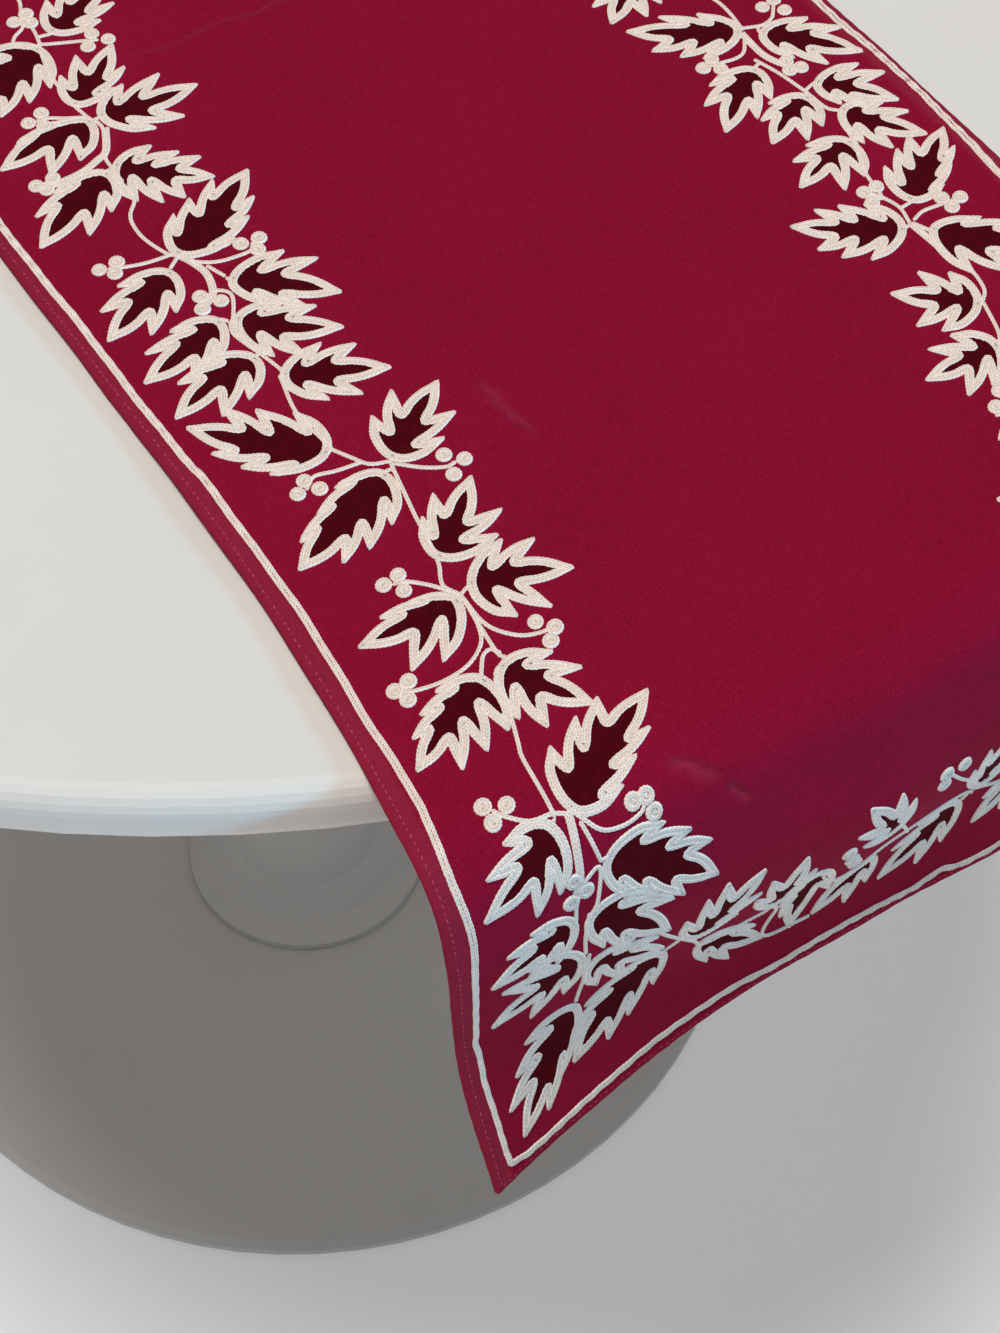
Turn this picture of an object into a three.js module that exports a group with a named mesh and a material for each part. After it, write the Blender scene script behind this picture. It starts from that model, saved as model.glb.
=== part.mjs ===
import * as THREE from 'three';

// Crewel table runner draped over a plain round pedestal table.
// Millimetres, +Z up. The runner lies along Y and its photographed end hangs towards -Y.

// Runner, laid flat
const runnerLength = 1220;
const runnerWidth = 356;
const clothThickness = 1.6;
const hemThickness = 2.2;
const hemWidth = 5;

// Table
const tableHeight = 750;
const tableRadius = 457;
const topThickness = 25;
const topEdgeRadius = 9;
const footRadius = 270;
const footThickness = 18;
const columnRadius = 36;
const columnFlareRadius = 74;
const plateRadius = 130;
const plateThickness = 9;
const pieceGap = 0.3;

// Drape of a hanging end: how far before the rim a thread starts to turn down,
// over what length it turns, and how steeply it hangs, on the axis and at the sides
const drape = {
  rimShift: 12,
  startBeforeRim: { axis: 6, side: -11 },
  turnLength: { axis: 45, side: 62 },
  hangAngle: { axis: 74.6, side: 74.1 },
  sidePower: 2.52,
};

// Under the rim the cloth leans in, most near the axis, and then swings out towards the hem:
// extra downward angle, where along the thread after its turn starts, and over what length
const lean = { angle: 28, sideAngle: -9, bowAngle: -24, place: 103, sidePlace: -20, bowPlace: -30, length: 30 };
const flare = { angle: 2, sideAngle: 14, place: 152, length: 31 };
const leanSideLimit = 0.35;

// The weave leans a little to one side on its way to the hanging end
const skew = { start: 192, length: 288, angle: 7.7, spread: -5.2 };

// Soft folds of the hanging part: place across, half width and depth
const folds = [
  { across: -128, halfWidth: 30, depth: 0.5 },
  { across: -70, halfWidth: 30, depth: 0.8 },
  { across: -10, halfWidth: 36, depth: 2.9 },
  { across: 55, halfWidth: 40, depth: 2.7 },
  { across: 122, halfWidth: 32, depth: -2.2 },
];
const foldStart = 30;
const foldLength = 80;

// Colours
const clothColour = 0x84132d;
const tableColour = 0xf3f2ef;

const halfLength = runnerLength / 2;
const halfWidth = runnerWidth / 2;

// Grid of the sheet: bands of stations from the middle to the hem, and cells across
const alongBands = [
  { to: 200, step: 50 },
  { to: 410, step: 30 },
  { to: 530, step: 5.5 },
  { to: halfLength - hemWidth - 1, step: 8 },
  { to: halfLength - hemWidth, step: 1 },
  { to: halfLength, step: hemWidth },
];
const acrossCells = 28;
const walkStep = 1.5;

const radians = (degrees) => (degrees * Math.PI) / 180;

// Smooth step with level ends
function ease(value) {
  const x = Math.min(1, Math.max(0, value));
  return x * x * x * (10 - 15 * x + 6 * x * x);
}

// Value that goes from the axis to the sides of the runner
function acrossMix(pair, side) {
  return pair.axis + (pair.side - pair.axis) * side;
}

// One hump, 1 at its place and fading within its length
function hump(distance, length) {
  return Math.exp(-((distance / length) ** 2));
}

// How far along a thread it is past the place where it starts to turn down
function pastStart(along, across, side) {
  const rim = Math.sqrt(tableRadius ** 2 - (across - drape.rimShift) ** 2);
  return along - rim + acrossMix(drape.startBeforeRim, side);
}

// Downward and sideways angle of a lengthwise thread, in radians
function threadAngles(along, across) {
  const side = Math.pow(Math.abs(across) / halfWidth, drape.sidePower);
  const past = pastStart(along, across, side);
  const turned = ease(past / acrossMix(drape.turnLength, side));
  const away = Math.min(across / halfWidth, leanSideLimit);
  const leanAngle = lean.angle + lean.sideAngle * away + lean.bowAngle * away * away;
  const leanPlace = lean.place + lean.sidePlace * away + lean.bowPlace * away * away;
  const flareAngle = flare.angle + flare.sideAngle * away;
  const swing = leanAngle * hump(past - leanPlace, lean.length) + flareAngle * hump(past - flare.place, flare.length);
  const down = radians(acrossMix(drape.hangAngle, side) + swing) * turned;
  const leaning = ease((along - skew.start) / skew.length);
  const sideways = radians(skew.angle) * leaning - radians(skew.spread) * (across / halfWidth) * turned;
  return { down, sideways };
}

// How far the soft folds push the hanging cloth outwards
function foldDepth(along, across) {
  const side = Math.pow(Math.abs(across) / halfWidth, drape.sidePower);
  const setIn = ease((pastStart(along, across, side) - foldStart) / foldLength);
  let depth = 0;
  for (const fold of folds) {
    depth += fold.depth * hump(across - fold.across, fold.halfWidth) * setIn;
  }
  return depth;
}

// Walks one thread from the middle to the hem and notes where it passes each station
function walkThread(stations, across) {
  const point = new THREE.Vector3(across, 0, 0);
  const passed = [];
  let along = 0;
  for (const station of stations) {
    while (along < station - 1e-9) {
      const step = Math.min(walkStep, station - along);
      const { down, sideways } = threadAngles(along + step / 2, across);
      point.x -= Math.cos(down) * Math.sin(sideways) * step;
      point.y -= Math.cos(down) * Math.cos(sideways) * step;
      point.z -= Math.sin(down) * step;
      along += step;
    }
    const { down } = threadAngles(station, across);
    const depth = foldDepth(station, across);
    passed.push(new THREE.Vector3(point.x, point.y - depth * Math.sin(down), point.z + depth * Math.cos(down)));
  }
  return passed;
}

// Stations from the middle to the hem
function alongStations() {
  const stations = [0];
  let from = 0;
  for (const band of alongBands) {
    const count = Math.max(1, Math.round((band.to - from) / band.step));
    for (let i = 1; i <= count; i += 1) {
      stations.push(from + ((band.to - from) * i) / count);
    }
    from = band.to;
  }
  return stations;
}

// Places across, with the edges of both side hems among them
function acrossPlaces() {
  const inner = halfWidth - hemWidth - 1;
  const places = [-halfWidth, -halfWidth + hemWidth];
  for (let i = 0; i <= acrossCells; i += 1) {
    places.push(-inner + (2 * inner * i) / acrossCells);
  }
  places.push(halfWidth - hemWidth, halfWidth);
  return places;
}

// The runner's sheet: a grid of its middle surface, thickened along its normals
function makeRunner() {
  const stations = alongStations();
  const places = acrossPlaces();
  const threads = places.map((across) => walkThread(stations, across));
  const mirrored = places.map((across) => walkThread(stations, -across));
  const middleHeight = tableHeight + pieceGap + hemThickness / 2;
  const grid = [];
  for (let i = stations.length - 1; i > 0; i -= 1) {
    grid.push(mirrored.map((thread) => new THREE.Vector3(-thread[i].x, -thread[i].y, thread[i].z)));
  }
  for (let i = 0; i < stations.length; i += 1) {
    grid.push(threads.map((thread) => thread[i].clone()));
  }
  const rows = grid.length;
  const columns = places.length;
  const alongAt = (i) => stations[Math.abs(i - (stations.length - 1))];
  const top = [];
  const bottom = [];
  for (let i = 0; i < rows; i += 1) {
    for (let j = 0; j < columns; j += 1) {
      const before = grid[Math.max(0, i - 1)][j];
      const after = grid[Math.min(rows - 1, i + 1)][j];
      const left = grid[i][Math.max(0, j - 1)];
      const right = grid[i][Math.min(columns - 1, j + 1)];
      const normal = before.clone().sub(after).cross(left.clone().sub(right)).normalize();
      const inHem = alongAt(i) > halfLength - hemWidth - 0.5 || Math.abs(places[j]) > halfWidth - hemWidth - 0.5;
      const offset = (inHem ? hemThickness : clothThickness) / 2;
      const middle = grid[i][j].clone().setZ(grid[i][j].z + middleHeight);
      top.push(middle.clone().addScaledVector(normal, offset));
      bottom.push(middle.clone().addScaledVector(normal, -offset));
    }
  }
  const index = [];
  const below = top.length;
  const quad = (a, b, c, d) => index.push(a, b, c, a, c, d);
  for (let i = 0; i < rows - 1; i += 1) {
    for (let j = 0; j < columns - 1; j += 1) {
      const a = i * columns + j;
      const b = a + 1;
      const c = a + columns + 1;
      const d = a + columns;
      quad(a, d, c, b);
      quad(below + a, below + b, below + c, below + d);
    }
  }
  for (let j = 0; j < columns - 1; j += 1) {
    const last = (rows - 1) * columns + j;
    quad(j, j + 1, below + j + 1, below + j);
    quad(last + 1, last, below + last, below + last + 1);
  }
  for (let i = 0; i < rows - 1; i += 1) {
    const a = i * columns;
    const b = a + columns - 1;
    quad(a + columns, a, below + a, below + a + columns);
    quad(b, b + columns, below + b + columns, below + b);
  }
  const geometry = new THREE.BufferGeometry();
  geometry.setFromPoints([...top, ...bottom]);
  geometry.setIndex(index);
  return geometry;
}

// Points of a quarter round in a profile, from one angle to another, in degrees
function arc(radius, height, size, from, to, count) {
  const points = [];
  for (let i = 0; i <= count; i += 1) {
    const angle = radians(from + ((to - from) * i) / count);
    points.push(new THREE.Vector2(radius + size * Math.cos(angle), height + size * Math.sin(angle)));
  }
  return points;
}

// Turned solid about the table's axis, from a profile that starts and ends on that axis
function turned(profile, segments) {
  const index = [];
  const points = [new THREE.Vector3(0, 0, profile[0].y)];
  const inner = profile.slice(1, -1);
  for (const corner of inner) {
    for (let i = 0; i < segments; i += 1) {
      const angle = (2 * Math.PI * i) / segments;
      points.push(new THREE.Vector3(corner.x * Math.cos(angle), corner.x * Math.sin(angle), corner.y));
    }
  }
  points.push(new THREE.Vector3(0, 0, profile[profile.length - 1].y));
  const last = points.length - 1;
  for (let i = 0; i < segments; i += 1) {
    const next = (i + 1) % segments;
    index.push(0, 1 + next, 1 + i);
    for (let ring = 0; ring < inner.length - 1; ring += 1) {
      const a = 1 + ring * segments;
      const b = a + segments;
      index.push(a + i, a + next, b + next, a + i, b + next, b + i);
    }
    const top = 1 + (inner.length - 1) * segments;
    index.push(last, top + i, top + next);
  }
  const geometry = new THREE.BufferGeometry();
  geometry.setFromPoints(points);
  geometry.setIndex(index);
  return geometry;
}

// Round top with an eased edge
function makeTop() {
  const base = tableHeight - topThickness;
  const profile = [
    new THREE.Vector2(0, base),
    ...arc(tableRadius - topEdgeRadius, base + topEdgeRadius, topEdgeRadius, -90, 0, 4),
    ...arc(tableRadius - topEdgeRadius, tableHeight - topEdgeRadius, topEdgeRadius, 0, 90, 5),
    new THREE.Vector2(0, tableHeight),
  ];
  return turned(profile, 96);
}

// Column that flares into the foot and ends in a plate under the top
function makeColumn() {
  const base = footThickness + pieceGap;
  const plateTop = tableHeight - topThickness - pieceGap;
  const flare = 46;
  const profile = [
    new THREE.Vector2(0, base),
    new THREE.Vector2(columnFlareRadius, base),
    new THREE.Vector2(columnFlareRadius, base + 5),
    new THREE.Vector2(columnFlareRadius - 14, base + 11),
    new THREE.Vector2(columnRadius + 9, base + flare * 0.6),
    new THREE.Vector2(columnRadius, base + flare + 20),
    new THREE.Vector2(columnRadius, plateTop - plateThickness),
    new THREE.Vector2(plateRadius, plateTop - plateThickness),
    new THREE.Vector2(plateRadius, plateTop),
    new THREE.Vector2(0, plateTop),
  ];
  return turned(profile, 48);
}

// Round foot, flat underneath, with a slightly sloped top
function makeFoot() {
  const profile = [
    new THREE.Vector2(0, 0),
    new THREE.Vector2(footRadius - 1.5, 0),
    new THREE.Vector2(footRadius, 1.5),
    new THREE.Vector2(footRadius, 6),
    new THREE.Vector2(footRadius - 4, 10),
    new THREE.Vector2(columnFlareRadius + 12, footThickness),
    new THREE.Vector2(0, footThickness),
  ];
  return turned(profile, 72);
}

function makeMesh(name, geometry, colour, roughness) {
  geometry.computeVertexNormals();
  const material = new THREE.MeshStandardMaterial({ color: colour, roughness, metalness: 0 });
  const mesh = new THREE.Mesh(geometry, material);
  mesh.name = name;
  return mesh;
}

const part = new THREE.Group();
part.name = 'crewel_table_runner';
part.add(makeMesh('runner', makeRunner(), clothColour, 0.92));
part.add(makeMesh('table_top', makeTop(), tableColour, 0.45));
part.add(makeMesh('table_column', makeColumn(), tableColour, 0.45));
part.add(makeMesh('table_foot', makeFoot(), tableColour, 0.45));

export default part;
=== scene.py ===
import math
import random

import bpy
import numpy as np
from mathutils import Euler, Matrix
from numpy.linalg import norm


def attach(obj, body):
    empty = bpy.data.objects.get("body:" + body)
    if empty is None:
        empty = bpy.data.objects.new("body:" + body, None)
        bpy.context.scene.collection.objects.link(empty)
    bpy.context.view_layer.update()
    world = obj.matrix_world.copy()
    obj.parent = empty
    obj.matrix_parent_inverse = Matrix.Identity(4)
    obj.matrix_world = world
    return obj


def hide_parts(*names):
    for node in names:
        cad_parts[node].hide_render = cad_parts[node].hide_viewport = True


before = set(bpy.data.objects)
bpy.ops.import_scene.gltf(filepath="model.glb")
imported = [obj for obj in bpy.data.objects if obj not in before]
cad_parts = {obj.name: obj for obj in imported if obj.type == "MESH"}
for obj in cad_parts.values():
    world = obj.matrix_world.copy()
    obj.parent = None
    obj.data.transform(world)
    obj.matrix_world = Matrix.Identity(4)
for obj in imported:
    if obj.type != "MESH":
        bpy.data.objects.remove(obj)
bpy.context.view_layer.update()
print("frame loaded:", ", ".join(sorted(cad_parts)))

# Charts and sizes are in millimetres and go to metres at the end.
# Along is 0 at the middle of the table and 610 at the near hem, and negative on the far half.
# Across is 0 on the middle line and grows to the right.

cameraSet = {
    "place": (-0.44640, -0.86669, 1.51554),
    "turn": (36.6589, -0.5567, -33.6020),
    "values": {"lens": 75.62, "sensor_width": 36, "clip_start": 0.05},
}


def setAll(thing, values):
    for name, value in values.items():
        setattr(thing, name, value)
    return thing


def addObject(name, data, place=(0, 0, 0), turn=(0, 0, 0)):
    # turn is in degrees
    thing = bpy.data.objects.new(name, data)
    thing.location = place
    thing.rotation_euler = Euler([math.radians(d) for d in turn])
    bpy.context.scene.collection.objects.link(thing)
    return thing


def makeCamera():
    data = setAll(bpy.data.cameras.new("viewCamera"), cameraSet["values"])
    bpy.context.scene.camera = addObject("viewCamera", data, cameraSet["place"], cameraSet["turn"])


makeCamera()
print("camera placed")

# How the cloth lies.

halfLength, halfWidth = 610, 178
drape = {
    "middleHeight": 751.4, "rim": 457, "rimShift": 12, "startAxis": 6, "startSide": -11,
    "turnAxis": 45, "turnSide": 62, "hangAxis": 74.6, "hangSide": 74.1, "sidePower": 2.52,
    "lean": (28, -9, -24), "leanPlace": (103, -20, -30), "leanLength": 30, "sideLimit": 0.35,
    "flare": (2, 14), "flarePlace": 152, "flareLength": 31,
    "skewStart": 192, "skewLength": 288, "skewAngle": 7.7, "skewSpread": -5.2,
    # across, half width, depth of each long fold in the hanging end
    "folds": ((-128, 30, 0.5), (-70, 30, 0.8), (-10, 36, 2.9), (55, 40, 2.7), (122, 32, -2.2)),
}

surfaceSet = {
    "swell": 0.32, "fineSwell": 0.12, "waveEnds": 0.35,
    "hemPucker": 0.5, "puckerPitch": 8.5, "puckerWidth": 6,
    # distance from the edge, half width and height
    "besideBorder": ((5.5, 3, 0.3), (16, 4, 0.3)),
    # start along and across, end along and across, height, half width
    "waves": (
        (462, -76, 478, -66, 0.8, 5.5), (478, -66, 496, -60, 0.6, 5.0), (300, 20, 372, 52, 0.22, 6.0),
        (446, -52, 510, -2, 0.55, 9.0), (420, 30, 455, 95, 0.30, 8.0), (352, -92, 392, -66, 0.4, 5.0),
        (480, -34, 482, 70, 0.8, 7.0), (462, -30, 466, 40, -0.25, 7.0),
    ),
    # sharper pressed lines, drawn by the cotton material
    "creases": (
        (59, -96, 67, 10, 0.8, 1.4), (281, -62, 322, -54, 1.3, 2.2), (459, -86, 475, -68, 1.5, 2.4),
        (475, -68, 487, -58, 1.4, 2.2),
    ),
}


def ease(value):
    part = np.clip(value, 0, 1)
    return part * part * part * (10 - 15 * part + 6 * part * part)


def pastTheRim(along, across):
    side = (np.abs(across) / halfWidth) ** drape["sidePower"]
    rim = np.sqrt(drape["rim"] ** 2 - (across - drape["rimShift"]) ** 2)
    past = along - rim + drape["startAxis"] + (drape["startSide"] - drape["startAxis"]) * side
    return past, side


def hangAngles(along, across):
    past, side = pastTheRim(along, across)
    turned = ease(past / (drape["turnAxis"] + (drape["turnSide"] - drape["turnAxis"]) * side))
    y = np.minimum(across / halfWidth, drape["sideLimit"])
    lean = sum(v * y ** n for n, v in enumerate(drape["lean"]))
    place = sum(v * y ** n for n, v in enumerate(drape["leanPlace"]))
    swing = lean * np.exp(-((past - place) / drape["leanLength"]) ** 2)
    swing += (drape["flare"][0] + drape["flare"][1] * y) * np.exp(
        -((past - drape["flarePlace"]) / drape["flareLength"]) ** 2)
    hang = drape["hangAxis"] + (drape["hangSide"] - drape["hangAxis"]) * side
    down = np.radians(hang + swing) * turned
    skewed = ease((along - drape["skewStart"]) / drape["skewLength"])
    spread = math.radians(drape["skewSpread"]) * across / halfWidth * turned
    return down, math.radians(drape["skewAngle"]) * skewed - spread


def foldDepth(along, across):
    past = pastTheRim(along, across)[0]
    depth = sum(d * np.exp(-((across - x) / w) ** 2) for x, w, d in drape["folds"])
    return depth * ease((past - 30) / 80)


def smallRelief(along, across):
    # soft swells, waves, the puckers of the hem seam and a low ridge each side of the border line
    broad = np.sin(along / 23 + across / 31 + 1.3) * np.sin(across / 27 - along / 61)
    rise = surfaceSet["swell"] * (1 + broad)
    fine = np.sin(along / 9.1 - across / 13.7) * np.sin(across / 7.9 + along / 17.3)
    rise += surfaceSet["fineSwell"] * (1 + fine)
    for s0, t0, s1, t1, height, half in surfaceSet["waves"]:
        length = math.hypot(s1 - s0, t1 - t0)
        u = ((along - s0) * (s1 - s0) + (across - t0) * (t1 - t0)) / length
        v = ((across - t0) * (s1 - s0) - (along - s0) * (t1 - t0)) / length
        fade = surfaceSet["waveEnds"] * length
        ends = ease(u / fade) * ease((length - u) / fade)
        rise += height * ends * np.exp(-(v / half) ** 2)
    toSide = halfWidth - np.abs(across)
    toEnd = halfLength - along
    pitch, width = surfaceSet["puckerPitch"], surfaceSet["puckerWidth"]
    for edge, run in ((toSide, along + 3 * np.sin(along / 19)), (toEnd, across + 3 * np.sin(across / 23))):
        wave = 0.5 + 0.5 * np.sin(2 * math.pi * run / pitch + 2 * np.sin(run / 37))
        rise += surfaceSet["hemPucker"] * wave * np.exp(-((edge - width) / width) ** 2)
    nearest = np.minimum(toSide, toEnd)
    rise += sum(h * np.exp(-((nearest - e) / w) ** 2) for e, w, h in surfaceSet["besideBorder"])
    return rise * ease(along / 40)


def drapeGrid():
    # walks each lengthwise thread from the middle of the table to the hem
    along = np.arange(0, halfLength + 0.5, 1.0)
    across = np.linspace(-halfWidth, halfWidth, 179)
    s, t = np.meshgrid(along, across, indexing="ij")
    down, sideways = hangAngles((s[1:] + s[:-1]) / 2, t[1:])
    steps = np.stack([-np.cos(down) * np.sin(sideways), -np.cos(down) * np.cos(sideways), -np.sin(down)], -1)
    walked = np.concatenate([np.zeros((1, len(across), 3)), np.cumsum(steps, 0)])
    points = walked + np.stack([t, 0 * t, 0 * t + drape["middleHeight"]], -1)
    down, sideways = hangAngles(s, t)
    depth = foldDepth(s, t)
    points[..., 1] -= depth * np.sin(down)
    points[..., 2] += depth * np.cos(down)
    for part in range(2):
        normals = np.cross(np.gradient(points, axis=0), np.gradient(points, axis=1))
        normals /= norm(normals, axis=-1)[..., None]
        normals *= np.sign(normals[0, 0, 2])
        if part == 0:
            points = points + normals * smallRelief(s, t)[..., None]
    return points, normals


clothGrid, clothNormals = drapeGrid()


def onCloth(along, across, lift):
    # places chart points on the cloth, in metres; the far end is the near one turned half a turn
    turn = np.where(along < 0, -1.0, 1.0)
    s = np.clip(np.abs(along), 0, halfLength)
    t = np.clip(across * turn, -halfWidth, halfWidth) + halfWidth
    t = t / (2 * halfWidth) * (clothGrid.shape[1] - 1)
    i = np.minimum(s.astype(int), clothGrid.shape[0] - 2)
    j = np.minimum(t.astype(int), clothGrid.shape[1] - 2)
    u, v = (s - i)[..., None], (t - j)[..., None]

    def between(grid):
        return ((grid[i, j] * (1 - u) + grid[i + 1, j] * u) * (1 - v)
                + (grid[i, j + 1] * (1 - u) + grid[i + 1, j + 1] * u) * v)

    points = between(clothGrid) + between(clothNormals) * np.asarray(lift)[..., None]
    points[..., :2] *= turn[..., None]
    return points * 0.001


print("drape walked")

# Shader groups and materials.


def wire(node, values):
    for key, value in values.items():
        if isinstance(value, bpy.types.NodeSocket):
            node.id_data.links.new(value, node.inputs[key])
        else:
            node.inputs[key].default_value = value
    return node


def put(tree, kind, values=None, **settings):
    return wire(setAll(tree.nodes.new("ShaderNode" + kind), settings), values or {})


def count(tree, operation, *values):
    return put(tree, "Math", dict(enumerate(values)), operation=operation).outputs[0]


def countVectors(tree, operation, *values, output=0):
    return put(tree, "VectorMath", dict(enumerate(values)), operation=operation).outputs[output]


def makeNoise(tree, vector, scale, detail, roughness=0.5):
    return put(tree, "TexNoise", {
        "Vector": vector, "Scale": scale, "Detail": detail, "Roughness": roughness}).outputs


def mapRange(tree, value, start, full, most=1.0, **settings):
    return put(tree, "MapRange", {
        "Value": value, "From Min": start, "From Max": full, "To Max": most}, **settings).outputs[0]


def blendColours(tree, factor, first, second):
    return put(tree, "Mix", {"Factor": factor, 6: first, 7: second}, data_type="RGBA").outputs[2]


def startGroup(name, takes, gives):
    # takes names each input with its default value, or None for a vector
    group = bpy.data.node_groups.new(name, "ShaderNodeTree")
    for title, default in takes.items():
        kind = "Vector" if default is None else "Float"
        socket = group.interface.new_socket(title, in_out="INPUT", socket_type="NodeSocket" + kind)
        if default is not None:
            socket.default_value = default
    for title in gives:
        group.interface.new_socket(title, in_out="OUTPUT", socket_type="NodeSocketFloat")
    return group, group.nodes.new("NodeGroupInput").outputs, group.nodes.new("NodeGroupOutput")


def makeWeaveGroup():
    # crossing threads with slubs and a fine grain; Tone runs from 0 to 1
    group, given, out = startGroup(
        "plainWeave", {"Vector": None, "Threads": 1500.0, "Slub": 0.5, "Grain": 0.5}, ("Height", "Tone"))
    size = put(group, "VectorMath", {0: given["Vector"], "Scale": given["Threads"]}, operation="SCALE")
    size = size.outputs[0]
    axes = put(group, "SeparateXYZ", {0: size}).outputs
    waves = [count(group, "SINE", count(group, "MULTIPLY", axes[n], math.pi)) for n in (0, 1)]
    crossing = count(group, "MULTIPLY", waves[0], waves[1])
    slubs = [makeNoise(group, countVectors(group, "MULTIPLY", size, stretch), 1.0, 2.0)[0]
             for stretch in ((0.09, 0.8, 1), (0.8, 0.09, 1))]
    both = count(group, "ADD", *slubs)
    speck = makeNoise(group, size, 0.8, 2.0, 0.6)[0]
    grain = count(group, "MULTIPLY", count(group, "SUBTRACT", speck, 0.5), given["Grain"])
    tone = count(group, "MULTIPLY_ADD", count(group, "SUBTRACT", both, 1.0), given["Slub"], 0.5)
    tone = count(group, "ADD", count(group, "ADD", tone, grain), count(group, "MULTIPLY", crossing, 0.12))
    wire(out, {"Height": count(group, "MULTIPLY_ADD", crossing, 0.35, both), "Tone": tone})
    return group


def makeWoolGroup():
    # short twisted fibres along the row; Vector is the stitch map: stitches along, width across
    group, given, out = startGroup("woolTwist", {"Vector": None, "Fineness": 6.0}, ("Height", "Tone"))
    slanted = put(group, "Mapping", {0: given["Vector"], "Rotation": (0, 0, 0.6), "Scale": (1.0, 3.0, 1.0)})
    fine = makeNoise(group, slanted.outputs[0], given["Fineness"], 3.0)[0]
    broad = makeNoise(group, given["Vector"], 0.35, 2.0)[0]
    share = count(group, "MULTIPLY", fine, 0.3)
    wire(out, {"Height": fine, "Tone": count(group, "MULTIPLY_ADD", broad, 0.7, share)})
    return group


def makeHandlingGroup():
    # slow drift of tone over a whole piece, from dust, light and handling
    group, given, out = startGroup("handling", {"Vector": None, "Size": 6.0}, ("Tone",))
    wire(out, {"Tone": makeNoise(group, given["Vector"], given["Size"], 4.0, 0.6)[0]})
    return group


def makeCreaseGroup():
    # a ridge along a straight line between two places, in the unit of Vector
    group, given, out = startGroup(
        "pressedCrease", {"Vector": None, "Start": None, "End": None, "Rise": 0.3, "Half Width": 1.5},
        ("Height",))
    way = countVectors(group, "SUBTRACT", given["End"], given["Start"])
    reach = countVectors(group, "SUBTRACT", given["Vector"], given["Start"])
    length = countVectors(group, "LENGTH", way, output=1)
    run = countVectors(group, "DOT_PRODUCT", reach, countVectors(group, "NORMALIZE", way), output=1)
    share = count(group, "DIVIDE", run, length)
    shares = put(group, "CombineXYZ", {0: share, 1: share, 2: share}).outputs[0]
    level = countVectors(group, "MULTIPLY_ADD", way, shares, given["Start"])
    away = countVectors(group, "DISTANCE", given["Vector"], level, output=1)
    away = count(group, "DIVIDE", away, given["Half Width"])
    square = count(group, "MULTIPLY", away, away)
    ridge = count(group, "EXPONENT", count(group, "MULTIPLY", square, -1.0))
    toEnd = count(group, "MINIMUM", share, count(group, "SUBTRACT", 1.0, share))
    fade = mapRange(group, toEnd, 0.0, 0.3, interpolation_type="SMOOTHSTEP")
    wire(out, {"Height": count(group, "MULTIPLY", count(group, "MULTIPLY", ridge, fade), given["Rise"])})
    return group


weaveGroup, woolGroup, handlingGroup = makeWeaveGroup(), makeWoolGroup(), makeHandlingGroup()
creaseGroup = makeCreaseGroup()


def startMaterial(name, values):
    material = bpy.data.materials.new(name)
    material.use_nodes = True
    tree = material.node_tree
    shader = tree.nodes["Principled BSDF"]
    wire(shader, values)
    return material, tree, shader


def useGroup(tree, group, values):
    node = tree.nodes.new("ShaderNodeGroup")
    node.node_tree = group
    return wire(node, values).outputs


def bumpInto(tree, shader, height, strength, distance, under=None):
    bump = put(tree, "Bump", {"Height": height, "Strength": strength, "Distance": distance})
    if under:
        wire(bump, {"Normal": under})
    wire(shader, {"Normal": bump.outputs[0]})


cottonLook = {
    # lint is the colour of the pale fibres, and also of the painted bounce light on the hems and the painted
    # highlight on the creases
    "dark": (0.105, 0.0004, 0.0095, 1), "light": (0.295, 0.0026, 0.0330, 1), "lint": (0.50, 0.16, 0.22, 1),
    "shader": {"Roughness": 0.92, "Sheen Weight": 0.02, "Sheen Roughness": 0.5,
               "Sheen Tint": (0.9, 0.25, 0.4, 1), "Specular IOR Level": 0.06},
    "weave": {"Threads": 2200, "Slub": 0.9, "Grain": 1.7}, "lintScale": 1500.0, "lintMost": 0.10,
    # how much paler the long hems are painted, as bounce light off the table, and the creases, as a painted
    # highlight; where a hem's painted light begins and is full (metres)
    "hemPaintedBounce": 0.055, "hemPaintedBounceAt": (0.1675, 0.1705), "creasePaintedHighlight": 0.035,
    "creaseBend": 9,  # millimetres by which slow noise bends a crease
}


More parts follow.
